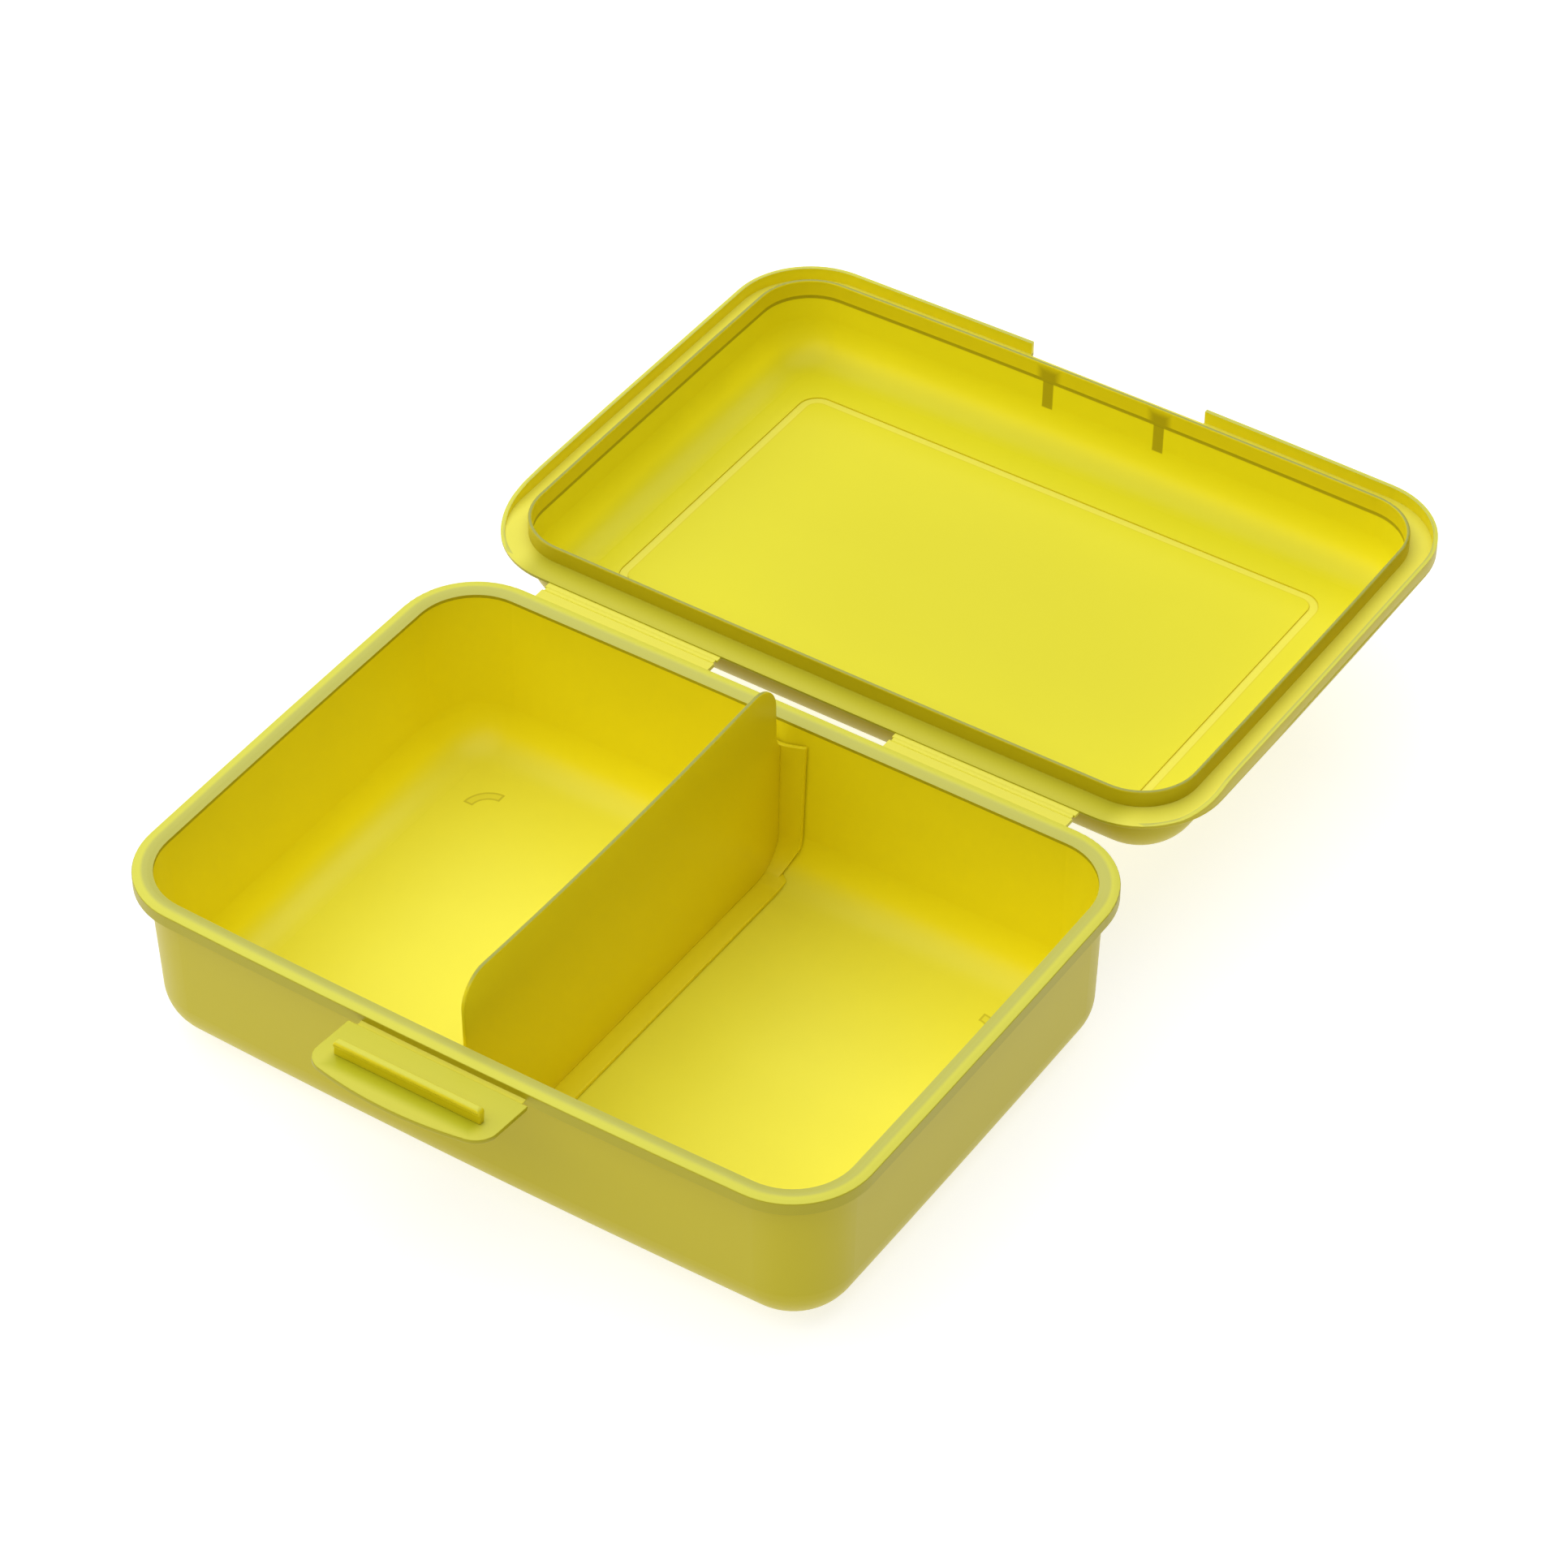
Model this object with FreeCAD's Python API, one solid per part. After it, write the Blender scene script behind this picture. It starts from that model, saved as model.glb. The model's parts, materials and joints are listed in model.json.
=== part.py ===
import FreeCAD, Part
import math
import os

# School lunch box: a shallow tub and a domed lid joined by two thin living hinges, a latch
# flap on a third living hinge at the front, and a loose T-section divider across the tub.
# Axes: +X to the right along the long side, +Y towards the lid's hinge, +Z up.
# Origin: middle of the tub in plan, on the plane that its feet stand on.
# Modelled open: the lid laid back level and the latch flap pointing forward. Sizes in mm.

# Rim outline in plan; each side bows outwards by a shallow arc
rim_half_x = 110.0
rim_half_y = 77.4
rim_corner_r = 22.9
bow_front = 1.7
bow_rear = 0.4
bow_side = 0.5

# Rim section
rim_width = 5.4
rim_skirt_h = 3.6
rim_t = 1.2
rim_crown = 0.6
rim_crown_r = 5.5
rim_crown_at = 2.6
rim_inner_drop = 0.25
rim_edge_r = 0.35

# Tub
tub_depth = 51.2
tub_wall = 1.5
tub_floor_t = 1.9
tub_draft = 1.75
tub_fillet_r = 14.8
foot_h = 0.6
foot_outer_r = 8.0
foot_inner_r = 5.3
foot_from_side = 33.6
foot_from_front = 34.4

# Lid hinge
hinge_reach = 3.9
hinge_inner_x = 27.5
hinge_outer_x = 83.2
hinge_tab_t = 1.2
film_width = 1.4
film_t = 0.3
film_end_relief = 0.5

# Lid
lid_seat_gap = 0.25
lid_overhang = 1.58
lid_flange_t = 1.1
lid_skirt_t = 1.2
lid_skirt_h = 3.8
lid_edge_r = 0.45
lid_lip_h = 4.9
lid_lip_gap = 0.5
lid_wall = 1.1
lid_dome_h = 20.5
lid_dome_draft = 0.7
lid_fillet_r = 12.6
lid_groove_half_x = 84.2
lid_groove_half_y = 49.9
lid_groove_r = 6.2
lid_groove_w = 2.5
lid_groove_depth = 0.3
skirt_ramp_start = 2.8
skirt_ramp_length = 31.0
notch_half_x = 28.2
notch_depth = 1.8
catch_rib_x = 18.0
catch_rib_w = 3.0
catch_rib_reach = 3.5
catch_rib_r = 1.2
catch_gap = 0.3

# Latch flap
latch_tilt = 6.0
latch_closing_turn = 84.0
latch_fold_drop = 2.0
latch_film_half_x = 24.9
latch_film_l = 2.1
latch_film_t = 0.35
latch_film_bevel = 0.25
latch_half_x = 27.2
latch_length = 21.4
latch_corner_r = 6.5
latch_tip_r = 104.0
latch_t = 1.3
latch_above_film = 0.55
latch_root_bevel = 0.6
bar_half_x = 22.1
bar_corner_r = 1.4
bar_at = 10.9
bar_t = 1.8
bar_h = 4.5
bar_bead = 0.5
bar_bead_h = 1.6
bar_bead_r = 0.75

# Divider
divider_wall_gap = 0.4
divider_floor_gap = 0.2
divider_t = 1.15
strip_t = 1.2
strip_half_x_floor = 6.8
strip_floor_rise = 1.3
strip_half_x_waist = 4.6
strip_waist_rise = 2.1
strip_half_x_wall = 7.4
strip_wall_rise = 9.0
strip_half_x_top = 8.2
strip_top_drop = 8.0
strip_top_rise = 2.5
panel_edge_gap = 2.2
panel_shoulder_h = 3.5
panel_height = 16.1
panel_top_dip = 1.5
panel_corner_r = 9.0

# Levels and places that follow from the sizes above
floor_z = foot_h
rim_z = floor_z + tub_depth
wall_slope = tub_draft / tub_depth
wall_inset = rim_width - tub_wall
crown_turn = math.atan(rim_crown / rim_crown_at)
crown_turn += math.atan((rim_crown + rim_inner_drop) / (rim_width - rim_crown_at))
crown_top = rim_crown - rim_crown_r * (1 / math.cos(crown_turn / 2) - 1)
lid_z = rim_z + crown_top + lid_seat_gap
hinge_y = rim_half_y + hinge_reach
hinge_z = (rim_z + lid_z) / 2
fold_y = hinge_y - film_width / 2
fold_z = hinge_z - film_width / 2
dome_inset = rim_width + lid_lip_gap
lid_top_z = lid_z + lid_dome_h

X_AXIS = FreeCAD.Vector(1, 0, 0)
Z_AXIS = FreeCAD.Vector(0, 0, 1)
OVERLAP = 0.6


def bow_radius(half_length, bow):
    """Radius of a shallow arc from its half length and its bow."""
    return (half_length ** 2 + bow ** 2) / (2 * bow)


def corner_centre(side_x, side_r, end_y, end_r, sign):
    """Centre of the corner arc that touches a bowed side and a bowed end from within.

    The side arc is centred at (side_x, 0) and the end arc at (0, end_y).
    """
    from_side = side_r - rim_corner_r
    from_end = end_r - rim_corner_r
    span = math.hypot(side_x, end_y)
    along = (from_side ** 2 - from_end ** 2 + span ** 2) / (2 * span)
    across = math.sqrt(from_side ** 2 - along ** 2)
    ux = -side_x / span
    uy = end_y / span
    x = side_x + along * ux - sign * across * uy
    y = along * uy + sign * across * ux
    return x, y


def rim_outline():
    """The rim's outer outline as eight arcs (x, y, radius, start, end), anticlockwise."""
    side_r = bow_radius(rim_half_y, bow_side)
    rear_r = bow_radius(rim_half_x, bow_rear)
    front_r = bow_radius(rim_half_x, bow_front)
    side_x = rim_half_x - side_r
    rear_y = rim_half_y - rear_r
    front_y = front_r - rim_half_y
    rx, ry = corner_centre(side_x, side_r, rear_y, rear_r, 1)
    fx, fy = corner_centre(side_x, side_r, front_y, front_r, -1)
    rear_side = math.degrees(math.atan2(ry, rx - side_x))
    rear_end = math.degrees(math.atan2(ry - rear_y, rx))
    front_side = math.degrees(math.atan2(fy, fx - side_x))
    front_end = math.degrees(math.atan2(fy - front_y, fx))
    return [
        (side_x, 0, side_r, front_side, rear_side),
        (rx, ry, rim_corner_r, rear_side, rear_end),
        (0, rear_y, rear_r, rear_end, 180 - rear_end),
        (-rx, ry, rim_corner_r, 180 - rear_end, 180 - rear_side),
        (-side_x, 0, side_r, 180 - rear_side, 180 - front_side),
        (-fx, fy, rim_corner_r, 180 - front_side, 180 - front_end),
        (0, front_y, front_r, 180 - front_end, 360 + front_end),
        (fx, fy, rim_corner_r, 360 + front_end, 360 + front_side),
    ]


OUTLINE = rim_outline()


def rounded_corner(before, corner, after):
    """Start, middle and end of the rounding at a corner given as (u, v, radius)."""
    to_before = FreeCAD.Vector(before[0] - corner[0], before[1] - corner[1], 0).normalize()
    to_after = FreeCAD.Vector(after[0] - corner[0], after[1] - corner[1], 0).normalize()
    tip = FreeCAD.Vector(corner[0], corner[1], 0)
    half = to_before.getAngle(to_after) / 2
    radius = corner[2]
    tangent = radius / math.tan(half)
    inwards = (to_before + to_after).normalize()
    middle = tip + inwards * (radius / math.sin(half) - radius)
    return tip + to_before * tangent, middle, tip + to_after * tangent


def profile_face(points, place):
    """Face within a closed outline of (u, v) or (u, v, rounding radius) corners.

    place turns a corner's (u, v) into a point in space.
    """
    spans = []
    for i, corner in enumerate(points):
        if len(corner) == 3:
            spans.append(rounded_corner(points[i - 1], corner, points[(i + 1) % len(points)]))
        else:
            tip = FreeCAD.Vector(corner[0], corner[1], 0)
            spans.append((tip, None, tip))
    edges = []
    for i, (entry, middle, leave) in enumerate(spans):
        if middle:
            edges.append(Part.Arc(place(entry), place(middle), place(leave)).toShape())
        following = spans[(i + 1) % len(spans)][0]
        if leave.distanceToPoint(following) > 1e-6:
            edges.append(Part.makeLine(place(leave), place(following)))
    return Part.Face(Part.Wire(edges))


def ring(points):
    """Solid that carries a section of (inset from the rim's outline, z) all the way round."""
    sectors = []
    for cx, cy, radius, start, end in OUTLINE:
        ca = math.cos(math.radians(start))
        sa = math.sin(math.radians(start))

        def place(p, cx=cx, cy=cy, radius=radius, ca=ca, sa=sa):
            reach = radius - p.x
            return FreeCAD.Vector(cx + reach * ca, cy + reach * sa, p.y)

        face = profile_face(points, place)
        sectors.append(face.revolve(FreeCAD.Vector(cx, cy, 0), Z_AXIS, end - start))
    return sectors[0].multiFuse(sectors[1:]).removeSplitter()


def outline_plate(inset, low, high):
    """Flat plate inside the rim's outline, drawn in by inset."""
    edges = []
    for cx, cy, radius, start, end in OUTLINE:
        centre = FreeCAD.Vector(cx, cy, low)
        edges.append(Part.makeCircle(radius - inset, centre, Z_AXIS, start, end))
    return Part.Face(Part.Wire(edges)).extrude(FreeCAD.Vector(0, 0, high - low))


def box(x_range, y_range, z_range):
    """Box between two limits along each axis."""
    sizes = [high - low for low, high in (x_range, y_range, z_range)]
    return Part.makeBox(*sizes, FreeCAD.Vector(x_range[0], y_range[0], z_range[0]))


def side_section(points, low_x, high_x):
    """Solid with a section drawn in y and z, from low_x to high_x."""
    face = profile_face(points, lambda p: FreeCAD.Vector(low_x, p.x, p.y))
    return face.extrude(FreeCAD.Vector(high_x - low_x, 0, 0))


def single(shape):
    """The one solid of a result."""
    if len(shape.Solids) != 1:
        raise ValueError("expected one solid, got %d" % len(shape.Solids))
    return shape.Solids[0]


def tub_outer_inset(z):
    """Inset of the tub wall's outer face at a height."""
    return wall_inset + (rim_z - z) * wall_slope


def tub_inner_inset(z):
    """Inset of the tub wall's inner face at a height."""
    return tub_outer_inset(z) + tub_wall


def fillet_room(inset):
    """Largest fillet between a wall and a flat that the plan corners leave room for."""
    return rim_corner_r - inset - 1.5


def shell_solid(outer, inner):
    """Tray of wall and flat from its outer and inner corners (inset, z, radius).

    Each list holds the wall's free end, then the corner where wall and flat meet.
    """
    middle = rim_corner_r - 1.0
    section = [outer[0], outer[1], (middle, outer[1][1]), (middle, inner[1][1])]
    section += [inner[1], inner[0]]
    levels = sorted((outer[1][1], inner[1][1]))
    return single(ring(section).fuse(outline_plate(middle, *levels)).removeSplitter())


# ---- tub ----

tub_corner_inset = tub_outer_inset(floor_z)
tub_fillet = min(tub_fillet_r, fillet_room(tub_corner_inset + tub_wall))
floor_top_z = floor_z + tub_floor_t
deck_z = rim_z - rim_t


def tub_shell():
    outer = [(tub_outer_inset(deck_z), deck_z), (tub_corner_inset, floor_z, tub_fillet)]
    inner = [(tub_inner_inset(deck_z), deck_z)]
    inner.append((tub_inner_inset(floor_top_z), floor_top_z, tub_fillet - tub_wall))
    return shell_solid(outer, inner)


def tub_rim():
    return single(ring([
        (0, rim_z - rim_skirt_h),
        (0, rim_z, rim_edge_r),
        (rim_crown_at, rim_z + rim_crown, rim_crown_r),
        (rim_width, rim_z - rim_inner_drop),
        (tub_inner_inset(deck_z), deck_z),
        (rim_t, deck_z),
        (rim_t, rim_z - rim_skirt_h),
    ]))


def tub_feet():
    """Four quarter-ring feet, each bowed towards its corner of the tub."""
    feet = []
    for quarter in range(4):
        middle_angle = 45 + 90 * quarter
        sx = 1 if quarter in (0, 3) else -1
        sy = 1 if quarter in (0, 1) else -1
        x = sx * (rim_half_x - foot_from_side)
        y = sy * (rim_half_y - foot_from_front)
        centre = FreeCAD.Vector(x, y, 0)
        disc = Part.makeCylinder(foot_outer_r, foot_h, centre, Z_AXIS, 90)
        bore = Part.makeCylinder(foot_inner_r, foot_h, centre, Z_AXIS, 90)
        foot = disc.cut(bore)
        foot.rotate(centre, Z_AXIS, middle_angle - 45)
        feet.append(foot)
    return Part.makeCompound(feet)


def hinge_tab(side, rim):
    """Ledge on the rim's rear that carries one lid hinge; side is -1 left or 1 right."""
    xs = sorted((side * hinge_inner_x, side * hinge_outer_x))
    tab = box(xs, (rim_half_y - OVERLAP - bow_rear, fold_y), (fold_z - hinge_tab_t, fold_z))
    return single(tab.cut(rim))


def hinge_film(side):
    """Thin strip between a tub tab and a lid pad."""
    inner = side * (hinge_inner_x + film_end_relief)
    outer = side * (hinge_outer_x - film_end_relief)
    xs = sorted((inner, outer))
    return box(xs, (fold_y, fold_y + film_width), (fold_z - film_t, fold_z))


# ---- lid, drawn shut on the tub ----

lid_corner_inset = dome_inset + lid_dome_draft
lid_fillet = min(lid_fillet_r, fillet_room(lid_corner_inset + lid_wall))
flange_top_z = lid_z + lid_flange_t
skirt_low_z = lid_z - lid_skirt_h
dome_slope = lid_dome_draft / lid_dome_h
latch_shut_film = math.radians(latch_tilt + latch_closing_turn / 2)
latch_shut_z = rim_z - latch_fold_drop + latch_film_l * math.sin(latch_shut_film)
catch_rib_top_z = latch_shut_z + bar_at - catch_gap


def lid_shell():
    """Dome: wall, fillet and panel, with a shallow border groove inside the panel."""
    panel_z = lid_top_z - lid_wall
    outer = [(dome_inset, lid_z), (lid_corner_inset, lid_top_z, lid_fillet)]
    inner = [(dome_inset + lid_wall, lid_z)]
    inner_inset = lid_corner_inset + lid_wall - dome_slope * lid_wall
    inner.append((inner_inset, panel_z, lid_fillet - lid_wall))
    groove = rounded_plate(0, panel_z, lid_groove_depth)
    island = rounded_plate(lid_groove_w, panel_z, lid_groove_depth)
    return single(shell_solid(outer, inner).cut(groove.cut(island)))


def rounded_plate(inset, low, height):
    """Plate with the panel groove's outline, drawn in by inset."""
    x = lid_groove_half_x - inset
    y = lid_groove_half_y - inset
    r = lid_groove_r - inset
    corners = [(-x, -y, r), (x, -y, r), (x, y, r), (-x, y, r)]
    face = profile_face(corners, lambda p: FreeCAD.Vector(p.x, p.y, low))
    return face.extrude(FreeCAD.Vector(0, 0, height))


def lid_flange():
    """Flat band round the dome, cut back behind the latch."""
    band = ring([
        (-lid_overhang, lid_z),
        (-lid_overhang, flange_top_z, lid_edge_r),
        (dome_inset + dome_slope * lid_flange_t, flange_top_z),
        (dome_inset, lid_z),
    ])
    edge_y = -rim_half_y - lid_overhang + notch_depth
    notch = box((-notch_half_x, notch_half_x), (edge_y - rim_corner_r, edge_y), (lid_z, lid_top_z))
    return single(band.cut(notch))


def lid_skirt():
    """Outer skirt: runs round three sides, ramps away at the hinge, open at the latch."""
    outer = -lid_overhang
    inner = lid_skirt_t - lid_overhang
    band = ring([(outer, skirt_low_z), (outer, lid_z), (inner, lid_z), (inner, skirt_low_z)])
    clear = lid_overhang + OVERLAP
    start_y = rim_half_y - skirt_ramp_start
    end_y = start_y - skirt_ramp_length
    ramp_r = skirt_ramp_length / 2
    below_z = skirt_low_z - OVERLAP
    ramp_cut = side_section([
        (end_y, below_z),
        (end_y, skirt_low_z),
        (end_y + skirt_ramp_length * 0.25, skirt_low_z + lid_skirt_h * 0.08, ramp_r),
        (start_y - skirt_ramp_length * 0.25, lid_z - lid_skirt_h * 0.08, ramp_r),
        (start_y, lid_z),
        (rim_half_y + clear, lid_z),
        (rim_half_y + clear, below_z),
    ], -rim_half_x - clear, rim_half_x + clear)
    front = box((-notch_half_x, notch_half_x), (-rim_half_y - clear, 0), (below_z, lid_z))
    return band.cut(ramp_cut).cut(front)


def lid_lip():
    """Sealing lip that drops inside the tub's wall."""
    outer = dome_inset
    inner = dome_inset + lid_wall
    low_z = lid_z - lid_lip_h
    edge_r = lid_wall * 0.4
    return single(ring([(outer, lid_z), (outer, low_z, edge_r), (inner, low_z, edge_r), (inner, lid_z)]))


def lid_hinge_pad(side, flange):
    """Pad on the flange's edge that the hinge film runs into."""
    xs = sorted((side * hinge_inner_x, side * hinge_outer_x))
    low_z = 2 * hinge_z - fold_z
    inner_y = rim_half_y + lid_overhang - bow_rear - OVERLAP
    return single(box(xs, (inner_y, fold_y), (low_z, flange_top_z)).cut(flange))


def lid_catch_rib(side, dome, flange):
    """Gusset on the dome's front wall whose top end the latch bar hooks over."""
    wall_y = dome_inset - rim_half_y
    outer_y = wall_y - catch_rib_reach
    x = side * catch_rib_x
    rib = side_section([
        (wall_y + OVERLAP, flange_top_z),
        (outer_y, flange_top_z),
        (outer_y, catch_rib_top_z, catch_rib_r),
        (wall_y + OVERLAP, catch_rib_top_z),
    ], x - catch_rib_w / 2, x + catch_rib_w / 2)
    return single(rib.cut(dome).cut(flange))


def laid_back(shape):
    """Turn a piece of the shut lid to the open lid's place."""
    shape.rotate(FreeCAD.Vector(0, hinge_y, hinge_z), X_AXIS, -180)
    return shape


# ---- latch, drawn level with its inner fold at the origin, then tilted and placed ----

film_y = -rim_half_y
film_z = rim_z - latch_fold_drop


def tilted_from(shape, y, z):
    """Tilt a level latch piece upwards about the origin and move it to (y, z)."""
    shape.rotate(FreeCAD.Vector(0, 0, 0), X_AXIS, -latch_tilt)
    shape.translate(FreeCAD.Vector(0, y, z))
    return shape


def at_film(shape):
    return tilted_from(shape, film_y, film_z)


def at_plate(shape):
    tilt = math.radians(latch_tilt)
    y = film_y - latch_film_l * math.cos(tilt)
    return tilted_from(shape, y, film_z + latch_film_l * math.sin(tilt))


def latch_film():
    """Thin strip between the rim's skirt and the flap."""
    return at_film(side_section([
        (0, 0),
        (-latch_film_bevel, -latch_film_t),
        (-latch_film_l, -latch_film_t),
        (-latch_film_l, 0),
    ], -latch_film_half_x, latch_film_half_x))


def latch_plate():
    """Flap with straight sides, rounded corners and a bowed tip."""
    tip_centre = latch_length - latch_tip_r
    corner_x = latch_half_x - latch_corner_r
    corner_s = tip_centre + math.sqrt((latch_tip_r - latch_corner_r) ** 2 - corner_x ** 2)
    turn = math.atan2(corner_s - tip_centre, corner_x)
    low = latch_above_film - latch_t

    def point(x, s):
        return FreeCAD.Vector(x, -s, low)

    def corner_arc(sign):
        middle = turn / 2
        reach_x = corner_x + latch_corner_r * math.cos(middle)
        reach_s = corner_s + latch_corner_r * math.sin(middle)
        end_x = corner_x + latch_corner_r * math.cos(turn)
        end_s = corner_s + latch_corner_r * math.sin(turn)
        start = point(sign * latch_half_x, corner_s)
        through = point(sign * reach_x, reach_s)
        end = point(sign * end_x, end_s)
        return start, through, end

    right = corner_arc(1)
    left = corner_arc(-1)
    edges = [
        Part.makeLine(point(-latch_half_x, 0), point(latch_half_x, 0)),
        Part.makeLine(point(latch_half_x, 0), right[0]),
        Part.Arc(*right).toShape(),
        Part.Arc(right[2], point(0, latch_length), left[2]).toShape(),
        Part.Arc(*left).toShape(),
        Part.makeLine(left[0], point(-latch_half_x, 0)),
    ]
    plate = Part.Face(Part.Wire(edges)).extrude(FreeCAD.Vector(0, 0, latch_t))
    bevel = side_section([(0, 0), (0, low), (-latch_root_bevel, low)], -latch_half_x, latch_half_x)
    return at_plate(single(plate.cut(bevel)))


def latch_catch_bar():
    """Cross bar with rounded top corners and a rounded bead along its free edge."""
    base = latch_above_film
    top = base + bar_h
    far = bar_at + bar_t
    bar = side_section([
        (-bar_at, base),
        (-bar_at, top, bar_bead_r),
        (-far - bar_bead, top, bar_bead_r),
        (-far - bar_bead, top - bar_bead_h, bar_bead / 2),
        (-far, top - bar_bead_h - bar_bead),
        (-far, base),
    ], -bar_half_x, bar_half_x)
    front_y = -far - bar_bead
    end_face = profile_face([
        (-bar_half_x, base),
        (bar_half_x, base),
        (bar_half_x, top, bar_corner_r),
        (-bar_half_x, top, bar_corner_r),
    ], lambda p: FreeCAD.Vector(p.x, front_y, p.y))
    ends = end_face.extrude(FreeCAD.Vector(0, -bar_at - front_y, 0))
    return at_plate(single(bar.common(ends)))


# ---- divider ----

strip_low_z = floor_top_z + divider_floor_gap
strip_top_z = rim_z - strip_top_drop
strip_tip_z = strip_top_z + strip_top_rise
strip_corner_r = tub_fillet - tub_wall - divider_wall_gap


def strip_line(gap, low, high, radius):
    """U-shaped line that follows the tub's inside from wall to wall, set off by gap."""
    y_high = rim_half_y - tub_inner_inset(high) - gap
    y_low = rim_half_y - tub_inner_inset(low) - gap
    return [(-y_high, high), (-y_low, low, radius), (y_low, low, radius), (y_high, high)]


def divider_foot_strip():
    """Strip along the floor and up both walls, with a waist at each bend and dished wall ends."""
    outside = strip_line(divider_wall_gap, strip_low_z, strip_tip_z, strip_corner_r)
    inner_low = strip_low_z + strip_t
    inner_gap = divider_wall_gap + strip_t
    inside = strip_line(inner_gap, inner_low, strip_tip_z, strip_corner_r - strip_t)
    half = strip_half_x_top
    band = side_section(outside + inside[::-1], -half, half)
    trim_face = profile_face([
        (-strip_half_x_floor, strip_low_z),
        (strip_half_x_floor, strip_low_z),
        (strip_half_x_floor, strip_low_z + strip_floor_rise),
        (strip_half_x_waist, strip_low_z + strip_waist_rise),
        (strip_half_x_wall, strip_low_z + strip_wall_rise),
        (strip_half_x_top, strip_tip_z),
        (0, strip_top_z, strip_half_x_top),
        (-strip_half_x_top, strip_tip_z),
        (-strip_half_x_wall, strip_low_z + strip_wall_rise),
        (-strip_half_x_waist, strip_low_z + strip_waist_rise),
        (-strip_half_x_floor, strip_low_z + strip_floor_rise),
    ], lambda p: FreeCAD.Vector(p.x, -rim_half_y, p.y))
    trim = trim_face.extrude(FreeCAD.Vector(0, 2 * rim_half_y, 0))
    return single(band.common(trim))


def divider_panel(strip):
    """Upright panel whose top stands above the rim, inside the shut lid's dome."""
    gap = divider_wall_gap + strip_t / 2
    low_z = strip_low_z + strip_t / 2
    root_z = strip_top_z - panel_shoulder_h / 2
    seat = strip_line(gap, low_z, root_z, strip_corner_r - strip_t / 2)
    shoulder_z = strip_top_z + panel_shoulder_h
    edge_y = seat[3][0] - panel_edge_gap
    top_z = rim_z + panel_height
    outline = seat + [
        (edge_y, shoulder_z),
        (edge_y, top_z, panel_corner_r),
        (-edge_y, top_z, panel_corner_r),
        (-edge_y, shoulder_z),
    ]
    half = divider_t / 2
    panel = side_section(outline, -half, half)
    dip_half = edge_y - panel_corner_r
    dip_r = bow_radius(dip_half, panel_top_dip)
    dip_centre = FreeCAD.Vector(-half, 0, top_z - panel_top_dip + dip_r)
    dip = Part.makeCylinder(dip_r, divider_t, dip_centre, X_AXIS)
    return single(panel.cut(dip).cut(strip))


def middle_y(pieces):
    """Middle of the open box's whole length, from the latch's tip to the lid's far edge."""
    return Part.makeCompound(pieces).optimalBoundingBox().Center.y


def build():
    """All pieces by name, with the lid laid back and the origin under the middle of the whole."""
    rim = tub_rim()
    dome = lid_shell()
    flange = lid_flange()
    strip = divider_foot_strip()
    pieces = {
        "tub_shell": tub_shell(),
        "tub_rim": rim,
        "tub_feet": tub_feet(),
        "latch_film": latch_film(),
        "latch_plate": latch_plate(),
        "latch_catch_bar": latch_catch_bar(),
        "divider_foot_strip": strip,
        "divider_panel": divider_panel(strip),
    }
    for name, side in (("left", -1), ("right", 1)):
        pieces["hinge_tab_" + name] = hinge_tab(side, rim)
        pieces["hinge_film_" + name] = hinge_film(side)
        pieces["lid_hinge_pad_" + name] = laid_back(lid_hinge_pad(side, flange))
        pieces["lid_catch_rib_" + name] = laid_back(lid_catch_rib(side, dome, flange))
    pieces["lid_skirt"] = laid_back(lid_skirt())
    pieces["lid_lip"] = laid_back(lid_lip())
    pieces["lid_flange"] = laid_back(flange)
    pieces["lid_shell"] = laid_back(dome)
    to_middle = FreeCAD.Vector(0, -middle_y(list(pieces.values())), 0)
    for piece in pieces.values():
        piece.translate(to_middle)
    return pieces


os.makedirs("parts", exist_ok=True)
for node, shape in build().items():
    shape.exportStep("parts/%s.step" % node)
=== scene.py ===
import json
import math

import bpy
from mathutils import Matrix, Quaternion, Vector


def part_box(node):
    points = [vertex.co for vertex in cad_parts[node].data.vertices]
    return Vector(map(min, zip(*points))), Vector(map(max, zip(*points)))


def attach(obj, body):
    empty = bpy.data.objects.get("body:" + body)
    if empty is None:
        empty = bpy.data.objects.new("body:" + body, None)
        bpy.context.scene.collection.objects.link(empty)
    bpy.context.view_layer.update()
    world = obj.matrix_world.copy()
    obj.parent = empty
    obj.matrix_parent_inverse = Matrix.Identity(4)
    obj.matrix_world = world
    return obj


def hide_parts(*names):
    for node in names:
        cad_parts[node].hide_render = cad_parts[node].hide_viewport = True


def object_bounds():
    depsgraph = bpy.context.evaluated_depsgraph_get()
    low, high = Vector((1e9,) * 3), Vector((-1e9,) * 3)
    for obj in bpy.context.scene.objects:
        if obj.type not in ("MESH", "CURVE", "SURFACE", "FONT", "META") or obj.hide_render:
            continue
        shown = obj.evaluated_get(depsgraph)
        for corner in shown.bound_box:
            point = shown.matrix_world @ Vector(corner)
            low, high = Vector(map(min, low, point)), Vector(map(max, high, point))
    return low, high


bl_info = {
    "name": "Lunch Box Looks",
    "version": (1, 0, 0),
    "blender": (4, 5, 0),
    "location": "3D View > Sidebar > Lunch Box",
    "description": "Softens, webs and colours a hinged lunch box in translucent plastic",
    "category": "Object",
}

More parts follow.
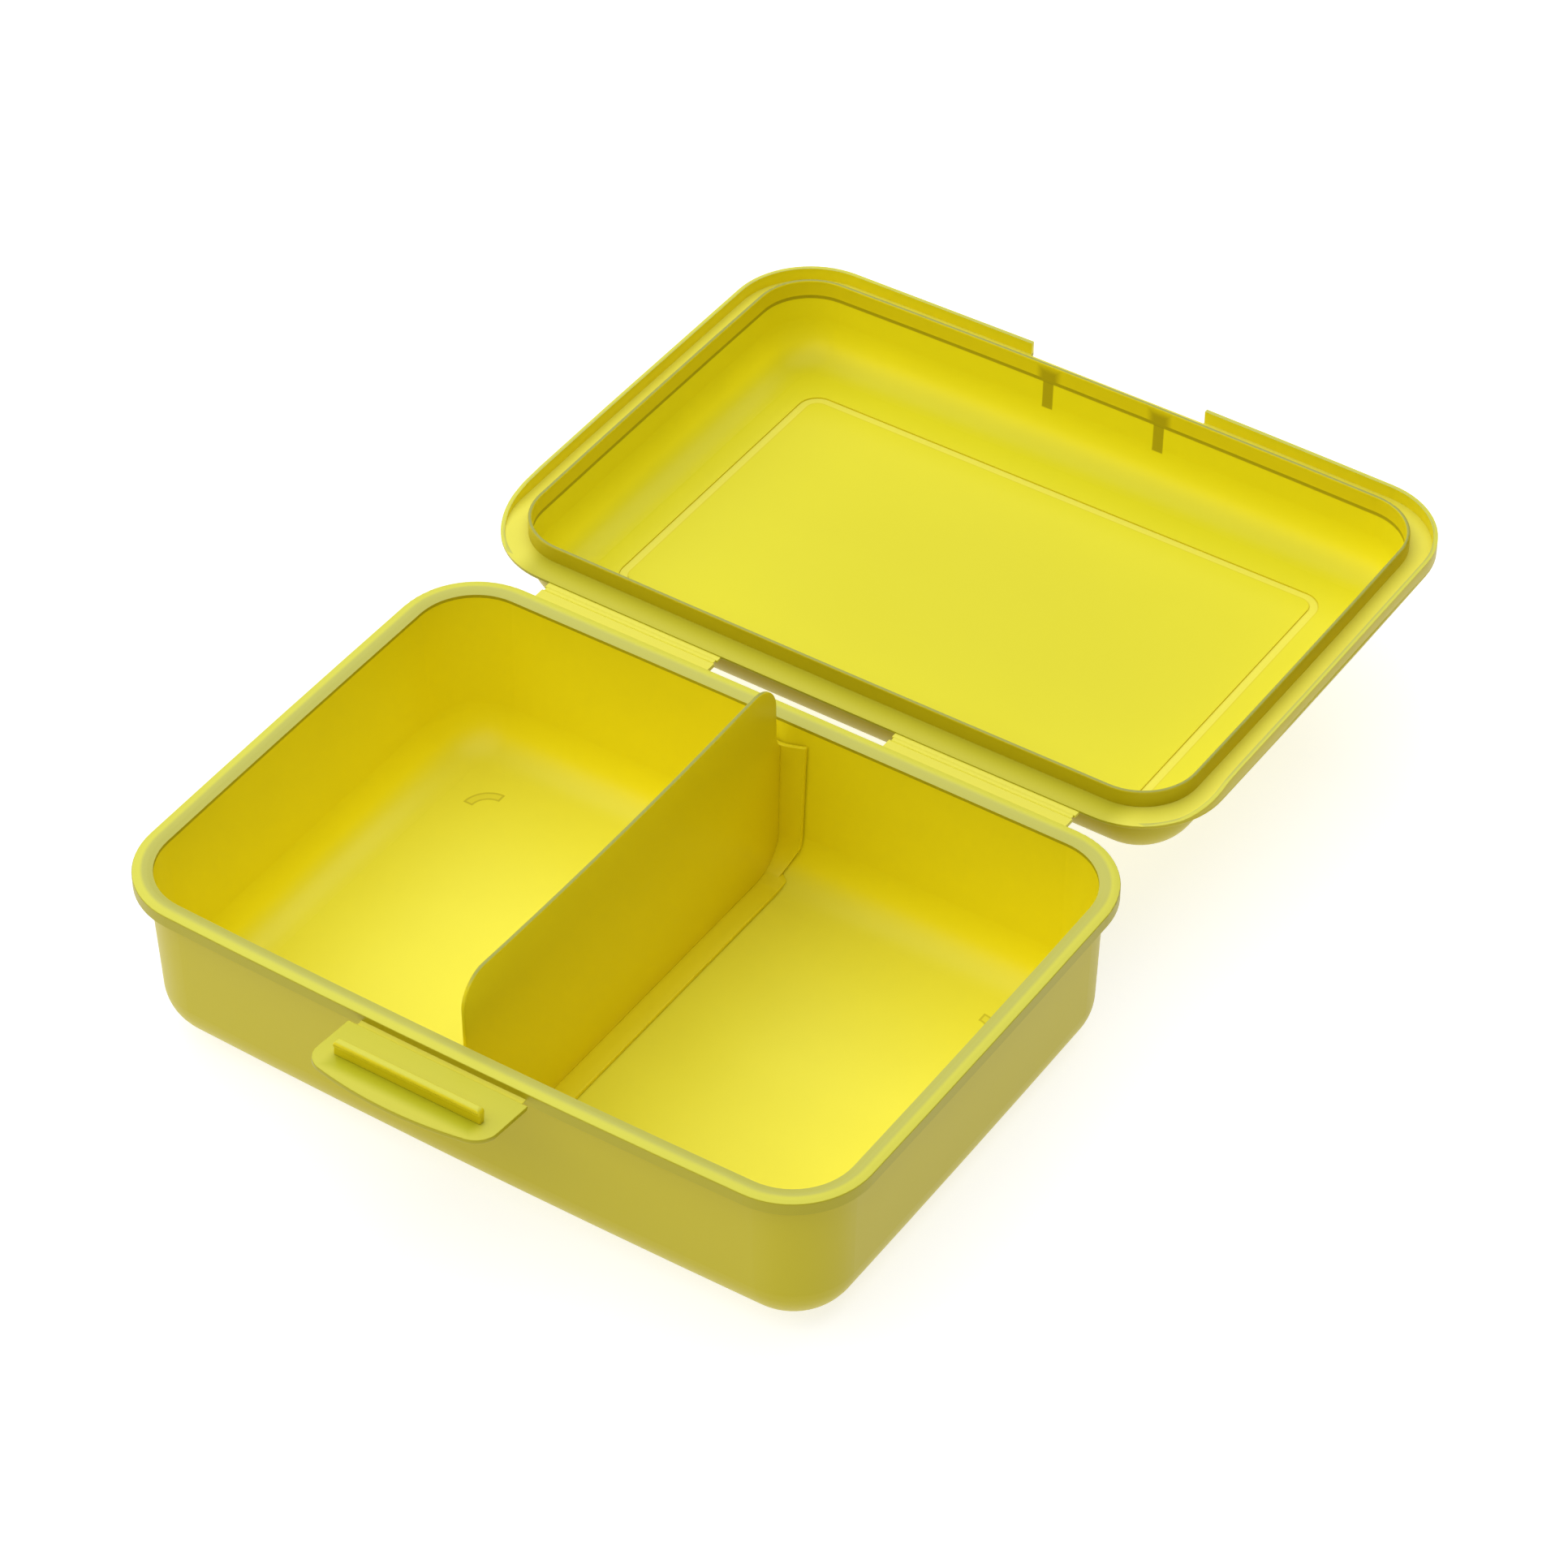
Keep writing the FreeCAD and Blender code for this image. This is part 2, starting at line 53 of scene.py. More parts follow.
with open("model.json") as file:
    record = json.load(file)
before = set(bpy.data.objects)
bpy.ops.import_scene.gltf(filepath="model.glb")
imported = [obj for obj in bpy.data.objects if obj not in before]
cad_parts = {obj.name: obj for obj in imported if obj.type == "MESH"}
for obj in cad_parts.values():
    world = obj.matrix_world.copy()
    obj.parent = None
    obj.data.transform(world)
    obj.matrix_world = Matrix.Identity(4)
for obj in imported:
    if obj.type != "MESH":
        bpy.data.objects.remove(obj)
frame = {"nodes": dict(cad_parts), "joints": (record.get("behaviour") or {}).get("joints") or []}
CAD_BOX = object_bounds()
MM = 0.001
SIDES = ("left", "right")

# The plastic itself: where one colour of painted light and shade turns into the next, and its
# faint marks.
WALL_BLEND = 2 * MM             # inner to outer colour, either side of edge-on
CREST_HIGHLIGHT_BLEND = 12 * MM            # level to crest colour, either side of upright
LEVEL_FROM, LEVEL_FULL = 0.55, 0.99   # how far up a face points before it counts as level
CLOUD_STRETCH = (0.6, 1.0, 1.4)
CLOUD_SCALE = 14
CLOUD_FROM, CLOUD_FULL = 0.42, 0.75
CLOUD_SHARE = 0.12
HANDLING_SCALE = 25
HANDLING_SPREAD = 0.08
GRAIN_SCALE = 450
GRAIN_SHARE = 0.35
PLASTIC_IOR = 1.46

# The feet, painted as quarter-ring outlines of shade that show through the floor.
FOOT_INSET = 8 * MM             # from a foot's outer corner to the centre of its arc
FOOT_RADIUS = 6.65 * MM
FOOT_HALF_WIDTH = 1.3 * MM
FOOT_CORE_HALF_WIDTH = 0.75 * MM
FOOT_CORE_END = 0.6 * MM
FOOT_CORE_SHARE = 0.7
FOOT_BLUR = 0.35 * MM
FOOT_SHADE_SHARE = 0.5
FLOOR_DEPTH = 2.2 * MM          # from the floor's underside to just above its top
FLOOR_BLUR = 0.2 * MM

# The lid's panel groove with its painted light band and painted shade lines, and the painted
# shade of what shows through its dome.
GROOVE_HALF_SIZE = (82.95 * MM, 48.65 * MM, 0)
GROOVE_CORNER = 4.95 * MM
GROOVE_HALF_WIDTH = 1.25 * MM
GROOVE_FADE = 0.2 * MM
GROOVE_LINE_CORE = 0.05 * MM
GROOVE_LINE_FADE = 0.35 * MM
GROOVE_SHADE_LINE_SHARE = 0.55
PANEL_DEPTH = 2.5 * MM
PANEL_BLUR = 0.3 * MM
FLANGE_BAND_SHADE_INSET = 0.1 * MM
FLANGE_BAND_SHADE_BLUR = 0.25 * MM
FLANGE_BAND_SHADE_SHARE = 0.8
RIB_SHADE_REACH = Vector((0, 2.5 * MM, 0))
RIB_SHADE_BLUR = 0.35 * MM
RIB_SHADE_SHARE = 0.75

# Painted shadow patches on the lip and the flange, and a painted glow on the latch plate.
LIP_SHADOW_REACH = 4 * MM
LIP_SHADOW_RISE = 3 * MM
LIP_SHADOW_BLUR = 3 * MM
LIP_SHADOW_SHARE = 0.7
FLANGE_SHADOW_INSET = 15 * MM
FLANGE_SHADOW_REACH = 5 * MM
FLANGE_SHADOW_BLUR = 8 * MM
FLANGE_SHADOW_SHARE = 0.9
GLOW_INSET = 2 * MM
GLOW_AHEAD = 2.5 * MM
GLOW_BEHIND = 0.5 * MM
GLOW_DROP = 3 * MM
GLOW_BLUR = 3.5 * MM
GLOW_FROM, GLOW_FULL = 0.1, 0.6       # how far up the plate's face points
GLOW_SHARE = 0.8

# Mesh work.
MERGE_GAP = 0.002 * MM
FLAT_ANGLE = math.radians(0.5)
SHARP_ANGLE = math.radians(30)
SMOOTH_ANGLE = math.radians(35)
WEB_FACETS = 160
LATCH_WEB_SAG = 1.3             # the latch's web hollows this much more than the hinges' webs

# The stage.
FLOOR_SIZE = 8
FLOOR_GAP = 0.05 * MM
FLOOR_GREY = 0.45
FLOOR_ROUGHNESS = 0.9
SOFTBOX_SIZE = 4
SOFTBOX_PLACE = (-1.1, 0.1, 1.6)
NEAREST_SEEN = 0.05


# ---- sizes and colours that a user may change ----

class PlasticSettings(bpy.types.PropertyGroup):
    """Colours and surface of the moulded plastic. Most colours are copies of one yellow plastic
    with painted light and shade.
    """

    level: bpy.props.FloatVectorProperty(
        name="Level panels", description="Colour of level panels, lit through from below",
        subtype="COLOR", default=(0.80, 0.745, 0.045), min=0, max=1)
    panel: bpy.props.FloatVectorProperty(
        name="Lid panel", description="Colour of the lid's flat panel", subtype="COLOR",
        default=(0.71, 0.66, 0.013), min=0, max=1)
    # Painted light: the walls seen from inside, in the tub and in the lid, are painted brighter
    # for light coming through the plastic.
    inner: bpy.props.FloatVectorProperty(
        name="Inner walls", description="Colour of walls seen from inside", subtype="COLOR",
        default=(0.95, 0.83, 0.010), min=0, max=1)
    dome: bpy.props.FloatVectorProperty(
        name="Dome walls", description="Colour of the lid's walls seen from inside",
        subtype="COLOR", default=(1.0, 0.89, 0.012), min=0, max=1)
    sheen: bpy.props.FloatVectorProperty(
        name="Sheen", description="Tint of the soft reflections", subtype="COLOR",
        default=(1.0, 0.97, 0.55), min=0, max=1)
    # Painted shade: the walls seen from outside are painted darker than the inner walls.
    outer: bpy.props.FloatVectorProperty(
        name="Outer walls", description="Colour of walls seen from outside", subtype="COLOR",
        default=(0.58, 0.49, 0.005), min=0, max=1)
    rim: bpy.props.FloatVectorProperty(
        name="Rim top", description="Colour of the narrow greenish rim", subtype="COLOR",
        default=(0.52, 0.51, 0.10), min=0, max=1)
    lip: bpy.props.FloatVectorProperty(
        name="Lip", description="Colour of the thin upright lip", subtype="COLOR",
        default=(0.62, 0.515, 0.005), min=0, max=1)
    flap: bpy.props.FloatVectorProperty(
        name="Flap", description="Colour of the flap and divider faces", subtype="COLOR",
        default=(0.87, 0.73, 0.008), min=0, max=1)
    # Painted highlight: the crest colour goes on level faces that lean outwards, on the rim, the
    # skirt and the catch bar's top.
    crest: bpy.props.FloatVectorProperty(
        name="Rim crest", description="Colour of the rim's bright outer crest", subtype="COLOR",
        default=(0.68, 0.66, 0.07), min=0, max=1)
    # Painted shade: the darker colour on the upright sides of the rim and of the latch plate.
    seam: bpy.props.FloatVectorProperty(
        name="Rim sides", description="Colour of the rim's dark inner and outer sides",
        subtype="COLOR", default=(0.46, 0.40, 0.008), min=0, max=1)
    strip: bpy.props.FloatVectorProperty(
        name="Foot strip", description="Colour of the divider's foot strip", subtype="COLOR",
        default=(0.78, 0.66, 0.009), min=0, max=1)
    rim_edge: bpy.props.FloatVectorProperty(
        name="Thin edges", description="Colour of the grey-green thin edges", subtype="COLOR",
        default=(0.36, 0.36, 0.07), min=0, max=1)
    film: bpy.props.FloatVectorProperty(
        name="Thin film", description="Colour of the thin hinge films", subtype="COLOR",
        default=(0.75, 0.70, 0.07), min=0, max=1)
    shade: bpy.props.FloatVectorProperty(
        name="Seen through", description="Colour of what shows through a wall", subtype="COLOR",
        default=(0.36, 0.28, 0.006), min=0, max=1)
    plate: bpy.props.FloatVectorProperty(
        name="Latch plate", description="Colour of the latch plate's upper face",
        subtype="COLOR", default=(0.60, 0.575, 0.05), min=0, max=1)
    glow: bpy.props.FloatVectorProperty(
        name="Plate glow", description="Deeper colour on the plate ahead of the catch bar",
        subtype="COLOR", default=(0.46, 0.46, 0.006), min=0, max=1)
    shadow: bpy.props.FloatVectorProperty(
        name="Flange shadow", description="Colour of the flange between the lid's hinges",
        subtype="COLOR", default=(0.50, 0.465, 0.02), min=0, max=1)
    cloud: bpy.props.FloatVectorProperty(
        name="Clouds", description="Colour of the faint flow marks", subtype="COLOR",
        default=(0.62, 0.52, 0.01), min=0, max=1)
    rough: bpy.props.FloatProperty(
        name="Roughness", description="Roughness of the satin surface", default=0.4,
        min=0, max=1, subtype="FACTOR")
    grain: bpy.props.FloatProperty(
        name="Grain", description="Height of the fine orange-peel grain", default=0.00001,
        min=0, max=0.001, unit="LENGTH", precision=6)


class FlapSettings(bpy.types.PropertyGroup):
    """Softened edges of the latch flap and the other small mouldings."""

    edge_round: bpy.props.FloatProperty(
        name="Edge round", description="Rounding of the flap's and divider's edges",
        default=0.35 * MM, min=0, max=2 * MM, unit="LENGTH", precision=5)
    bar_round: bpy.props.FloatProperty(
        name="Catch bar round", description="Rounding of the latch's catch bar",
        default=0.4 * MM, min=0, max=2 * MM, unit="LENGTH", precision=5)
    skirt_round: bpy.props.FloatProperty(
        name="Skirt round", description="Rounding of the lid skirt's edges",
        default=0.3 * MM, min=0, max=2 * MM, unit="LENGTH", precision=5)
    rib_round: bpy.props.FloatProperty(
        name="Catch rib round", description="Rounding of the lid's two catch ribs",
        default=0.25 * MM, min=0, max=2 * MM, unit="LENGTH", precision=5)
    foot_round: bpy.props.FloatProperty(
        name="Foot round", description="Rounding of the feet's edges",
        default=0.18 * MM, min=0, max=2 * MM, unit="LENGTH", precision=5)
    film_sag: bpy.props.FloatProperty(
        name="Film sag", description="How far a hinge film hollows between its folds",
        default=0.2 * MM, min=0.01 * MM, max=2 * MM, unit="LENGTH", precision=5)
    film_thick: bpy.props.FloatProperty(
        name="Film thickness", description="Thickness of a hinge film",
        default=0.25 * MM, min=0.05 * MM, max=1 * MM, unit="LENGTH", precision=5)


class StageSettings(bpy.types.PropertyGroup):
    """Floor, light and camera."""

    azimuth: bpy.props.FloatProperty(
        name="Azimuth", description="Camera's turn round the box", default=math.radians(33.975),
        subtype="ANGLE")
    elevation: bpy.props.FloatProperty(
        name="Elevation", description="Camera's height angle", default=math.radians(41.762),
        subtype="ANGLE")
    roll: bpy.props.FloatProperty(
        name="Roll", description="Camera's tilt about its own axis", default=math.radians(-0.339),
        subtype="ANGLE")
    distance: bpy.props.FloatProperty(
        name="Distance", description="From the camera to the point it looks at", default=1.3926,
        unit="LENGTH")
    aim: bpy.props.FloatVectorProperty(
        name="Aim", description="Point the camera looks at", default=(0.0251, -0.0351, 0.0686),
        subtype="XYZ", unit="LENGTH")
    lens: bpy.props.FloatProperty(
        name="Lens", description="Focal length in millimetres", default=126.59, min=1,
        unit="CAMERA")
    sky: bpy.props.FloatProperty(
        name="Sky", description="Strength of the even white light", default=0.12, min=0,
        subtype="FACTOR")
    softbox: bpy.props.FloatProperty(
        name="Softbox", description="Power of the large overhead light", default=82, min=0,
        unit="POWER")
    table: bpy.props.FloatProperty(
        name="Table", description="How strongly the white table is lit from below", default=0.73,
        min=0, subtype="FACTOR")


def settings(name):
    """One of the scene's three groups of settings: plastic, flap or stage."""
    return getattr(bpy.context.scene, "lunchbox_" + name)


# ---- shader helpers ----

def new_group(name, inputs, outputs):
    """Empty shader node group with its sockets, as (group, input node, output node)."""
    group = bpy.data.node_groups.new(name, "ShaderNodeTree")
    for label, kind, default in inputs:
        socket = group.interface.new_socket(label, in_out="INPUT", socket_type=kind)
        socket.default_value = default
    for label, kind in outputs:
        group.interface.new_socket(label, in_out="OUTPUT", socket_type=kind)
    return group, group.nodes.new("NodeGroupInput"), group.nodes.new("NodeGroupOutput")


def math_node(tree, operation, first, second=None):
    """Math node whose inputs are sockets or plain numbers; gives its output."""
    node = tree.nodes.new("ShaderNodeMath")
    node.operation = operation
    for slot, value in enumerate((first, second)):
        if isinstance(value, bpy.types.NodeSocket):
            tree.links.new(value, node.inputs[slot])
        elif value is not None:
            node.inputs[slot].default_value = value
    return node.outputs[0]


def vector_node(tree, operation, first, second=None):
    """Vector Math node whose inputs are sockets or plain vectors; gives its vector output."""
    node = tree.nodes.new("ShaderNodeVectorMath")
    node.operation = operation
    for slot, value in enumerate((first, second)):
        if isinstance(value, bpy.types.NodeSocket):
            tree.links.new(value, node.inputs[slot])
        elif value is not None:
            node.inputs[slot].default_value = value
    return node.outputs[0]


def noise(tree, vector, scale, detail):
    """Noise value over a piece, from 0 to 1."""
    node = tree.nodes.new("ShaderNodeTexNoise")
    node.inputs["Scale"].default_value = scale
    node.inputs["Detail"].default_value = detail
    tree.links.new(vector, node.inputs["Vector"])
    return node.outputs["Fac"]


def colour_mix(tree, factor, first, second):
    """Mix of two colours, each a socket or a plain colour, by a factor socket."""
    node = tree.nodes.new("ShaderNodeMix")
    node.data_type = "RGBA"
    tree.links.new(factor, node.inputs[0])
    for slot, value in ((6, first), (7, second)):
        if isinstance(value, bpy.types.NodeSocket):
            tree.links.new(value, node.inputs[slot])
        else:
            node.inputs[slot].default_value = (*value[:3], 1)
    return node.outputs[2]


def soft_step(tree, value, low, high):
    """0 below low and 1 above high, smooth between; low and high are sockets or numbers."""
    node = tree.nodes.new("ShaderNodeMapRange")
    node.interpolation_type = "SMOOTHSTEP"
    tree.links.new(value, node.inputs["Value"])
    for label, limit in (("From Min", low), ("From Max", high)):
        if isinstance(limit, bpy.types.NodeSocket):
            tree.links.new(limit, node.inputs[label])
        else:
            node.inputs[label].default_value = limit
    return node.outputs["Result"]


def moulded_plastic_group():
    """Painted light and shade by facing, with cloudy flow marks, fine grain and handling wear of
    moulded polypropylene.
    """
    group, given, result = new_group(
        "Moulded plastic",
        [("Vector", "NodeSocketVector", (0, 0, 0)),
         ("Normal", "NodeSocketVector", (0, 0, 1)),
         ("Centre", "NodeSocketVector", (0, 0, 0)),
         ("Level", "NodeSocketColor", (0.75, 0.7, 0.01, 1)),
         ("Crest", "NodeSocketColor", (0.75, 0.7, 0.01, 1)),
         ("Inner", "NodeSocketColor", (0.9, 0.8, 0.01, 1)),
         ("Outer", "NodeSocketColor", (0.6, 0.5, 0.01, 1)),
         ("Roughness", "NodeSocketFloat", 0.3)],
        [("Color", "NodeSocketColor"), ("Roughness", "NodeSocketFloat"),
         ("Height", "NodeSocketFloat")])
    place = given.outputs["Vector"]
    facing = group.nodes.new("ShaderNodeSeparateXYZ")
    group.links.new(given.outputs["Normal"], facing.inputs[0])
    away = vector_node(group, "SUBTRACT", place, given.outputs["Centre"])
    sideways = vector_node(group, "MULTIPLY", away, (1, 1, 0))
    outwards = group.nodes.new("ShaderNodeVectorMath")
    outwards.operation = "DOT_PRODUCT"
    group.links.new(given.outputs["Normal"], outwards.inputs[0])
    group.links.new(sideways, outwards.inputs[1])
    # Painted light and shade: walls facing the middle take the brighter inner colour, walls
    # facing out the darker outer colour.
    outside = soft_step(group, outwards.outputs["Value"], -WALL_BLEND, WALL_BLEND)
    wall = colour_mix(group, outside, given.outputs["Inner"], given.outputs["Outer"])
    # Painted highlight: level faces that lean outwards take the crest colour.
    crest_highlight_share = soft_step(group, outwards.outputs["Value"], -CREST_HIGHLIGHT_BLEND, CREST_HIGHLIGHT_BLEND)
    top = colour_mix(group, crest_highlight_share, given.outputs["Level"], given.outputs["Crest"])
    # Painted light: faces that point up take the level colour instead of the wall colours.
    level = soft_step(group, facing.outputs["Z"], LEVEL_FROM, LEVEL_FULL)
    colour = colour_mix(group, level, wall, top)
    stretched = vector_node(group, "MULTIPLY", place, CLOUD_STRETCH)
    clouds = noise(group, stretched, CLOUD_SCALE, 3)
    cloudy = soft_step(group, clouds, CLOUD_FROM, CLOUD_FULL)
    flow = math_node(group, "MULTIPLY", cloudy, CLOUD_SHARE)
    colour = colour_mix(group, flow, colour, settings("plastic").cloud)
    group.links.new(colour, result.inputs["Color"])
    handling = noise(group, place, HANDLING_SCALE, 2)
    either_way = math_node(group, "SUBTRACT", handling, 0.5)
    spread = math_node(group, "MULTIPLY", either_way, HANDLING_SPREAD)
    rough = math_node(group, "ADD", given.outputs["Roughness"], spread)
    group.links.new(rough, result.inputs["Roughness"])
    grain = noise(group, place, GRAIN_SCALE, 2)
    group.links.new(grain, result.inputs["Height"])
    return group


def soft_block_group():
    """Mask that is 1 inside a block with blurred edges, for what shows through a wall."""
    group, given, result = new_group(
        "Soft block",
        [("Vector", "NodeSocketVector", (0, 0, 0)),
         ("Centre", "NodeSocketVector", (0, 0, 0)),
         ("Half size", "NodeSocketVector", (0.01, 0.01, 0.01)),
         ("Blur", "NodeSocketFloat", 0.001)],
        [("Mask", "NodeSocketFloat")])
    away = vector_node(group, "SUBTRACT", given.outputs["Vector"], given.outputs["Centre"])
    beyond = vector_node(group, "SUBTRACT", vector_node(group, "ABSOLUTE", away),
                         given.outputs["Half size"])
    split = group.nodes.new("ShaderNodeSeparateXYZ")
    group.links.new(beyond, split.inputs[0])
    reach = math_node(group, "MAXIMUM", split.outputs["X"], split.outputs["Y"])
    reach = math_node(group, "MAXIMUM", reach, split.outputs["Z"])
    inside = math_node(group, "SUBTRACT", 1.0,
                       soft_step(group, reach, 0.0, given.outputs["Blur"]))
    group.links.new(inside, result.inputs["Mask"])
    return group


def soft_ring_group():
    """Mask that is 1 on a quarter ring about a centre, for the feet under the floor.

    End shortens the quarter ring at both its ends.
    """
    group, given, result = new_group(
        "Soft ring",
        [("Vector", "NodeSocketVector", (0, 0, 0)),
         ("Centre", "NodeSocketVector", (0, 0, 0)),
         ("Middle radius", "NodeSocketFloat", 0.0066),
         ("Half width", "NodeSocketFloat", 0.0014),
         ("End", "NodeSocketFloat", 0.0),
         ("Blur", "NodeSocketFloat", 0.001)],
        [("Mask", "NodeSocketFloat")])
    away = vector_node(group, "SUBTRACT", given.outputs["Vector"], given.outputs["Centre"])
    flat = vector_node(group, "MULTIPLY", away, (1, 1, 0))
    length = group.nodes.new("ShaderNodeVectorMath")
    length.operation = "LENGTH"
    group.links.new(flat, length.inputs[0])
    offset = math_node(group, "SUBTRACT", length.outputs["Value"], given.outputs["Middle radius"])
    beyond = math_node(group, "SUBTRACT", math_node(group, "ABSOLUTE", offset),
                       given.outputs["Half width"])
    band = math_node(group, "SUBTRACT", 1.0,
                     soft_step(group, beyond, 0.0, given.outputs["Blur"]))
    split = group.nodes.new("ShaderNodeSeparateXYZ")
    group.links.new(away, split.inputs[0])
    outward_x = math_node(group, "GREATER_THAN", split.outputs["X"], given.outputs["End"])
    outward_y = math_node(group, "GREATER_THAN", split.outputs["Y"], given.outputs["End"])
    quarter = math_node(group, "MULTIPLY", outward_x, outward_y)
    group.links.new(math_node(group, "MULTIPLY", band, quarter), result.inputs["Mask"])
    return group


def soft_frame_group():
    """Masks of a rounded rectangular frame in plan: its filling, and its two edge lines."""
    group, given, result = new_group(
        "Soft frame",
        [("Vector", "NodeSocketVector", (0, 0, 0)),
         ("Centre", "NodeSocketVector", (0, 0, 0)),
         ("Half size", "NodeSocketVector", (0.05, 0.05, 0)),
         ("Corner", "NodeSocketFloat", 0.01),
         ("Half width", "NodeSocketFloat", 0.001)],
        [("Fill", "NodeSocketFloat"), ("Outline", "NodeSocketFloat")])
    away = vector_node(group, "SUBTRACT", given.outputs["Vector"], given.outputs["Centre"])
    flat = vector_node(group, "ABSOLUTE", vector_node(group, "MULTIPLY", away, (1, 1, 0)))
    beyond = vector_node(group, "SUBTRACT", flat, given.outputs["Half size"])
    split = group.nodes.new("ShaderNodeSeparateXYZ")
    group.links.new(beyond, split.inputs[0])
    corner = given.outputs["Corner"]
    beyond_x = math_node(group, "ADD", split.outputs["X"], corner)
    beyond_y = math_node(group, "ADD", split.outputs["Y"], corner)
    side = math_node(group, "MINIMUM", math_node(group, "MAXIMUM", beyond_x, beyond_y), 0.0)
    out_x = math_node(group, "MAXIMUM", beyond_x, 0.0)
    out_y = math_node(group, "MAXIMUM", beyond_y, 0.0)
    squares = math_node(group, "ADD", math_node(group, "MULTIPLY", out_x, out_x),
                        math_node(group, "MULTIPLY", out_y, out_y))
    reach = math_node(group, "ADD", math_node(group, "SQRT", squares), side)
    away_from_line = math_node(group, "ABSOLUTE", math_node(group, "SUBTRACT", reach, corner))
    past = math_node(group, "SUBTRACT", away_from_line, given.outputs["Half width"])
    fill = math_node(group, "SUBTRACT", 1.0, soft_step(group, past, -GROOVE_FADE, 0.0))
    group.links.new(fill, result.inputs["Fill"])
    from_edge = math_node(group, "ABSOLUTE", past)
    line = math_node(group, "SUBTRACT", 1.0,
                     soft_step(group, from_edge, GROOVE_LINE_CORE, GROOVE_LINE_FADE))
    group.links.new(line, result.inputs["Outline"])
    return group


def group_named(name, maker):
    """The shared node group of that name, made on first use."""
    return bpy.data.node_groups.get(name) or maker()


def place_group(tree, group, values):
    """Group node in a material with its own values, as sockets or plain values."""
    node = tree.nodes.new("ShaderNodeGroup")
    node.node_tree = group
    for label, value in values.items():
        if isinstance(value, bpy.types.NodeSocket):
            tree.links.new(value, node.inputs[label])
        else:
            node.inputs[label].default_value = value
    return node


def plastic_material(name, level, inner, outer, node, masks=None, crest=None):
    """Satin plastic with painted light and shade: its own colour on level faces, inner walls and
    outer walls.

    node is the moulding whose middle tells inside from outside. masks(tree, place) gives
    (mask socket, colour) pairs painted over the plastic, where place is the material's
    Texture Coordinate node. crest is the painted highlight colour of level faces that lean
    outwards.
    """
    plastic = settings("plastic")
    material = bpy.data.materials.new(name)
    material.use_nodes = True
    tree = material.node_tree
    shader = tree.nodes["Principled BSDF"]
    place = tree.nodes.new("ShaderNodeTexCoord")
    group = group_named("Moulded plastic", moulded_plastic_group)
    low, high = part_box(node)
    mould = place_group(tree, group, {
        "Vector": place.outputs["Object"], "Normal": place.outputs["Normal"],
        "Centre": (low + high) / 2,
        "Level": (*level, 1), "Crest": (*(crest or level), 1), "Inner": (*inner, 1),
        "Outer": (*outer, 1), "Roughness": plastic.rough})
    colour = mould.outputs["Color"]
    for mask, tint in (masks(tree, place) if masks else ()):
        colour = colour_mix(tree, mask, colour, tint)
    tree.links.new(colour, shader.inputs["Base Color"])
    tree.links.new(mould.outputs["Roughness"], shader.inputs["Roughness"])
    bump = tree.nodes.new("ShaderNodeBump")
    bump.inputs["Strength"].default_value = GRAIN_SHARE
    bump.inputs["Distance"].default_value = plastic.grain
    tree.links.new(mould.outputs["Height"], bump.inputs["Height"])
    tree.links.new(bump.outputs["Normal"], shader.inputs["Normal"])
    shader.inputs["IOR"].default_value = PLASTIC_IOR
    shader.inputs["Specular Tint"].default_value = (*plastic.sheen, 1)
    return material


def block_mask(tree, place, low, high, blur):
    """Mask of the box between two corners, blurred outwards."""
    group = group_named("Soft block", soft_block_group)
    node = place_group(tree, group, {
        "Vector": place.outputs["Object"], "Centre": (low + high) / 2,
        "Half size": (high - low) / 2, "Blur": blur})
    return node.outputs["Mask"]


# ---- mesh helpers ----

def deselect_all():
    """Leave nothing selected."""
    bpy.ops.object.select_all(action="DESELECT")


def activate(piece):
    """Make a piece the only selected and active object."""
    deselect_all()
    piece.select_set(True)
    bpy.context.view_layer.objects.active = piece


def apply_modifier(piece, kind, **values):
    """Add a modifier, set it and apply it."""
    activate(piece)
    modifier = piece.modifiers.new(kind.title(), kind)
    for label, value in values.items():
        setattr(modifier, label, value)
    bpy.ops.object.modifier_apply(modifier=modifier.name)


def smooth_by_angle(piece):
    """Shade a piece smooth except across its sharp edges."""
    activate(piece)
    bpy.ops.object.shade_smooth_by_angle(angle=SMOOTH_ANGLE)


def give_material(piece, material):
    """Make a material the piece's only one."""
    piece.data.materials.clear()
    piece.data.materials.append(material)


def softened_copy(node, name, width, segments=3):
    """Copy of a CAD node, merged into whole faces, with every sharp edge rounded."""
    source = frame["nodes"][node]
    piece = source.copy()
    piece.data = source.data.copy()
    piece.name = name
    piece.parent = None
    piece.matrix_world = Matrix.Identity(4)
    bpy.context.scene.collection.objects.link(piece)
    activate(piece)
    bpy.ops.object.mode_set(mode="EDIT")
    bpy.ops.mesh.customdata_custom_splitnormals_clear()
    bpy.ops.mesh.select_all(action="SELECT")
    bpy.ops.mesh.remove_doubles(threshold=MERGE_GAP)
    bpy.ops.mesh.dissolve_limited(angle_limit=FLAT_ANGLE)
    bpy.ops.object.mode_set(mode="OBJECT")
    apply_modifier(piece, "BEVEL", width=width, segments=segments, limit_method="ANGLE",
                   angle_limit=SHARP_ANGLE)
    smooth_by_angle(piece)
    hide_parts(node)
    return piece


